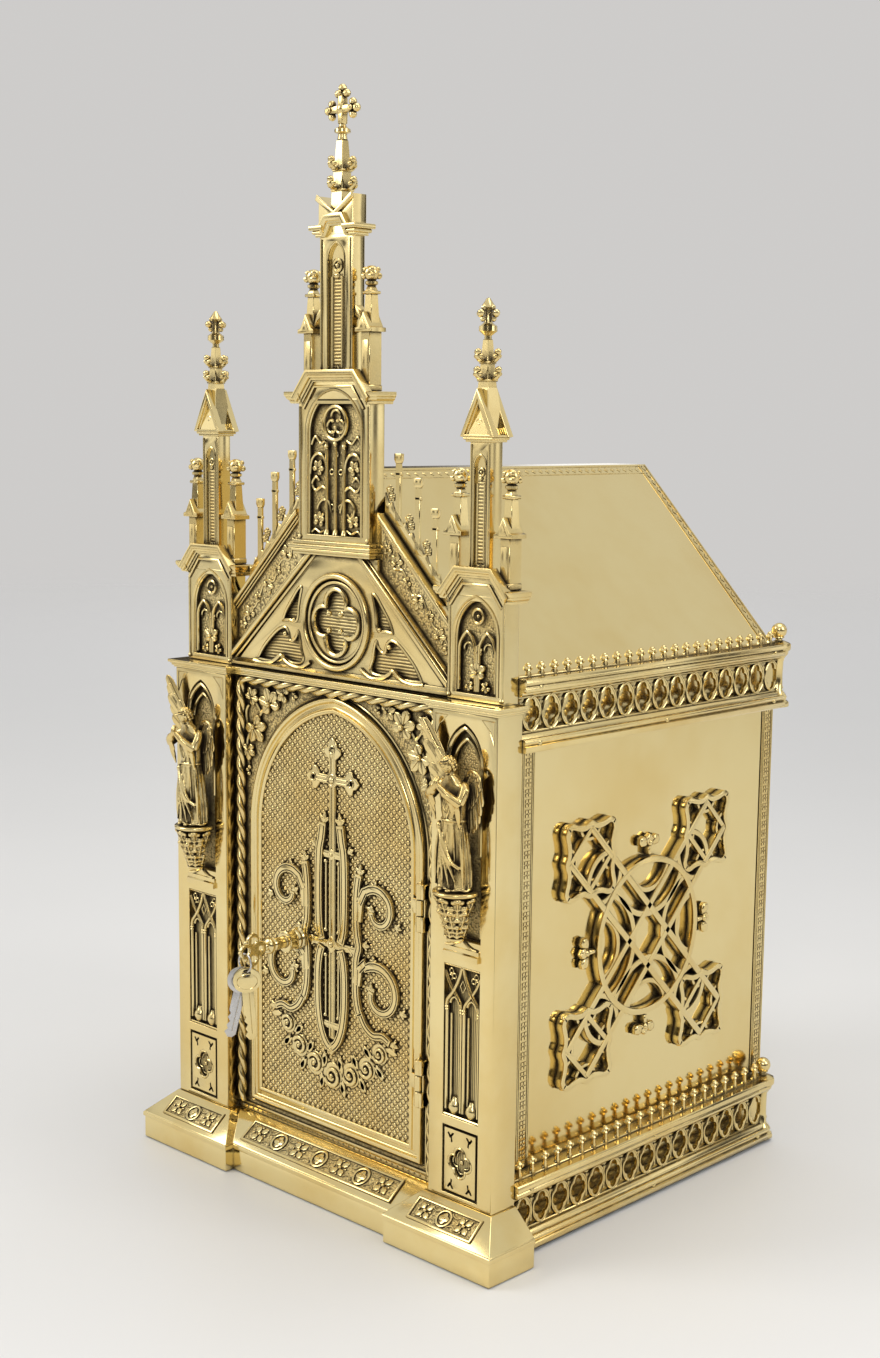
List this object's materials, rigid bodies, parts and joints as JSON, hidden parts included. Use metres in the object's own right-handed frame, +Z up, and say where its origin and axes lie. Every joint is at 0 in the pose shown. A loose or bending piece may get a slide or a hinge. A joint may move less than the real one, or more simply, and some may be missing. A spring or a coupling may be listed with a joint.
{
  "type": "altar tabernacle",
  "caption": "Gothic brass house with a hinged arched door, a hollow chamber, pinnacled front, standing figures on brackets, pierced side galleries and a pitched roof.",
  "frame": {"origin": "centre of the underside, on the floor under the middle of the footprint", "axes": "+Z up; -Y is the front with the door; +X to the viewer's right, the door's hinge side"},
  "size_m": [0.397, 0.4179, 0.8406],
  "materials": {
    "polished_brass": "polished, lightly worn, with soft tarnish in the sunk parts",
    "sheet_brass": "polished sheet with faint rubbing marks",
    "cast_brass": "cast, rubbed bright on the high parts and dark in the hollows",
    "figure_brass": "cast and chased, satin, darker in the folds",
    "hinge_brass": "turned and filed, slightly scratched",
    "lock_brass": "turned and cast, gilt",
    "key_brass": "stamped, dull and worn",
    "steel": "nickel-plated steel, worn"
  },
  "bodies": {
    "tabernacle": {"altar_cross_finial": "cast_brass", "angel_left": "figure_brass", "angel_right": "figure_brass", "back_plate": "sheet_brass", "border_strip_back_left": "cast_brass", "border_strip_back_right": "cast_brass", "border_strip_front_left": "cast_brass", "border_strip_front_right": "cast_brass", "corbel_left": "figure_brass", "corbel_right": "figure_brass", "door_surround": "cast_brass", "floor_plate": "sheet_brass", "gable": "cast_brass", "gable_crest_left": "cast_brass", "gable_crest_right": "cast_brass", "gallery_lower_left": "cast_brass", "gallery_lower_right": "cast_brass", "gallery_upper_left": "cast_brass", "gallery_upper_right": "cast_brass", "hinge_lower_frame": "hinge_brass", "hinge_upper_frame": "hinge_brass", "ledge_moulding": "polished_brass", "middle_pinnacle_left": "cast_brass", "middle_pinnacle_right": "cast_brass", "middle_spire": "cast_brass", "middle_tower_lower": "cast_brass", "middle_tower_upper": "cast_brass", "pilaster_left": "polished_brass", "pilaster_right": "polished_brass", "plinth": "polished_brass", "roof_left": "sheet_brass", "roof_ridge": "sheet_brass", "roof_right": "sheet_brass", "rope_moulding": "cast_brass", "side_medallion_left": "cast_brass", "side_medallion_right": "cast_brass", "side_pinnacle_inner_left": "cast_brass", "side_pinnacle_inner_right": "cast_brass", "side_pinnacle_outer_left": "cast_brass", "side_pinnacle_outer_right": "cast_brass", "side_spire_left": "cast_brass", "side_spire_right": "cast_brass", "side_tower_lower_left": "cast_brass", "side_tower_lower_right": "cast_brass", "side_tower_upper_left": "cast_brass", "side_tower_upper_right": "cast_brass", "wall_left": "sheet_brass", "wall_right": "sheet_brass"},
    "door": {"door_leaf": "polished_brass", "door_ornament": "cast_brass", "hinge_lower_door": "hinge_brass", "hinge_upper_door": "hinge_brass", "key_ring": "steel", "lock_collar": "lock_brass", "lock_key": "lock_brass", "small_key_brass": "key_brass", "small_key_steel": "steel"}
  },
  "joints": [
    {"name": "door_hinge", "type": "hinge", "parent": "tabernacle", "child": "door", "pos_m": [0.0982, -0.1614, 0.1835], "axis": [0, 0, 1], "range_deg": [0, 110]}
  ]
}
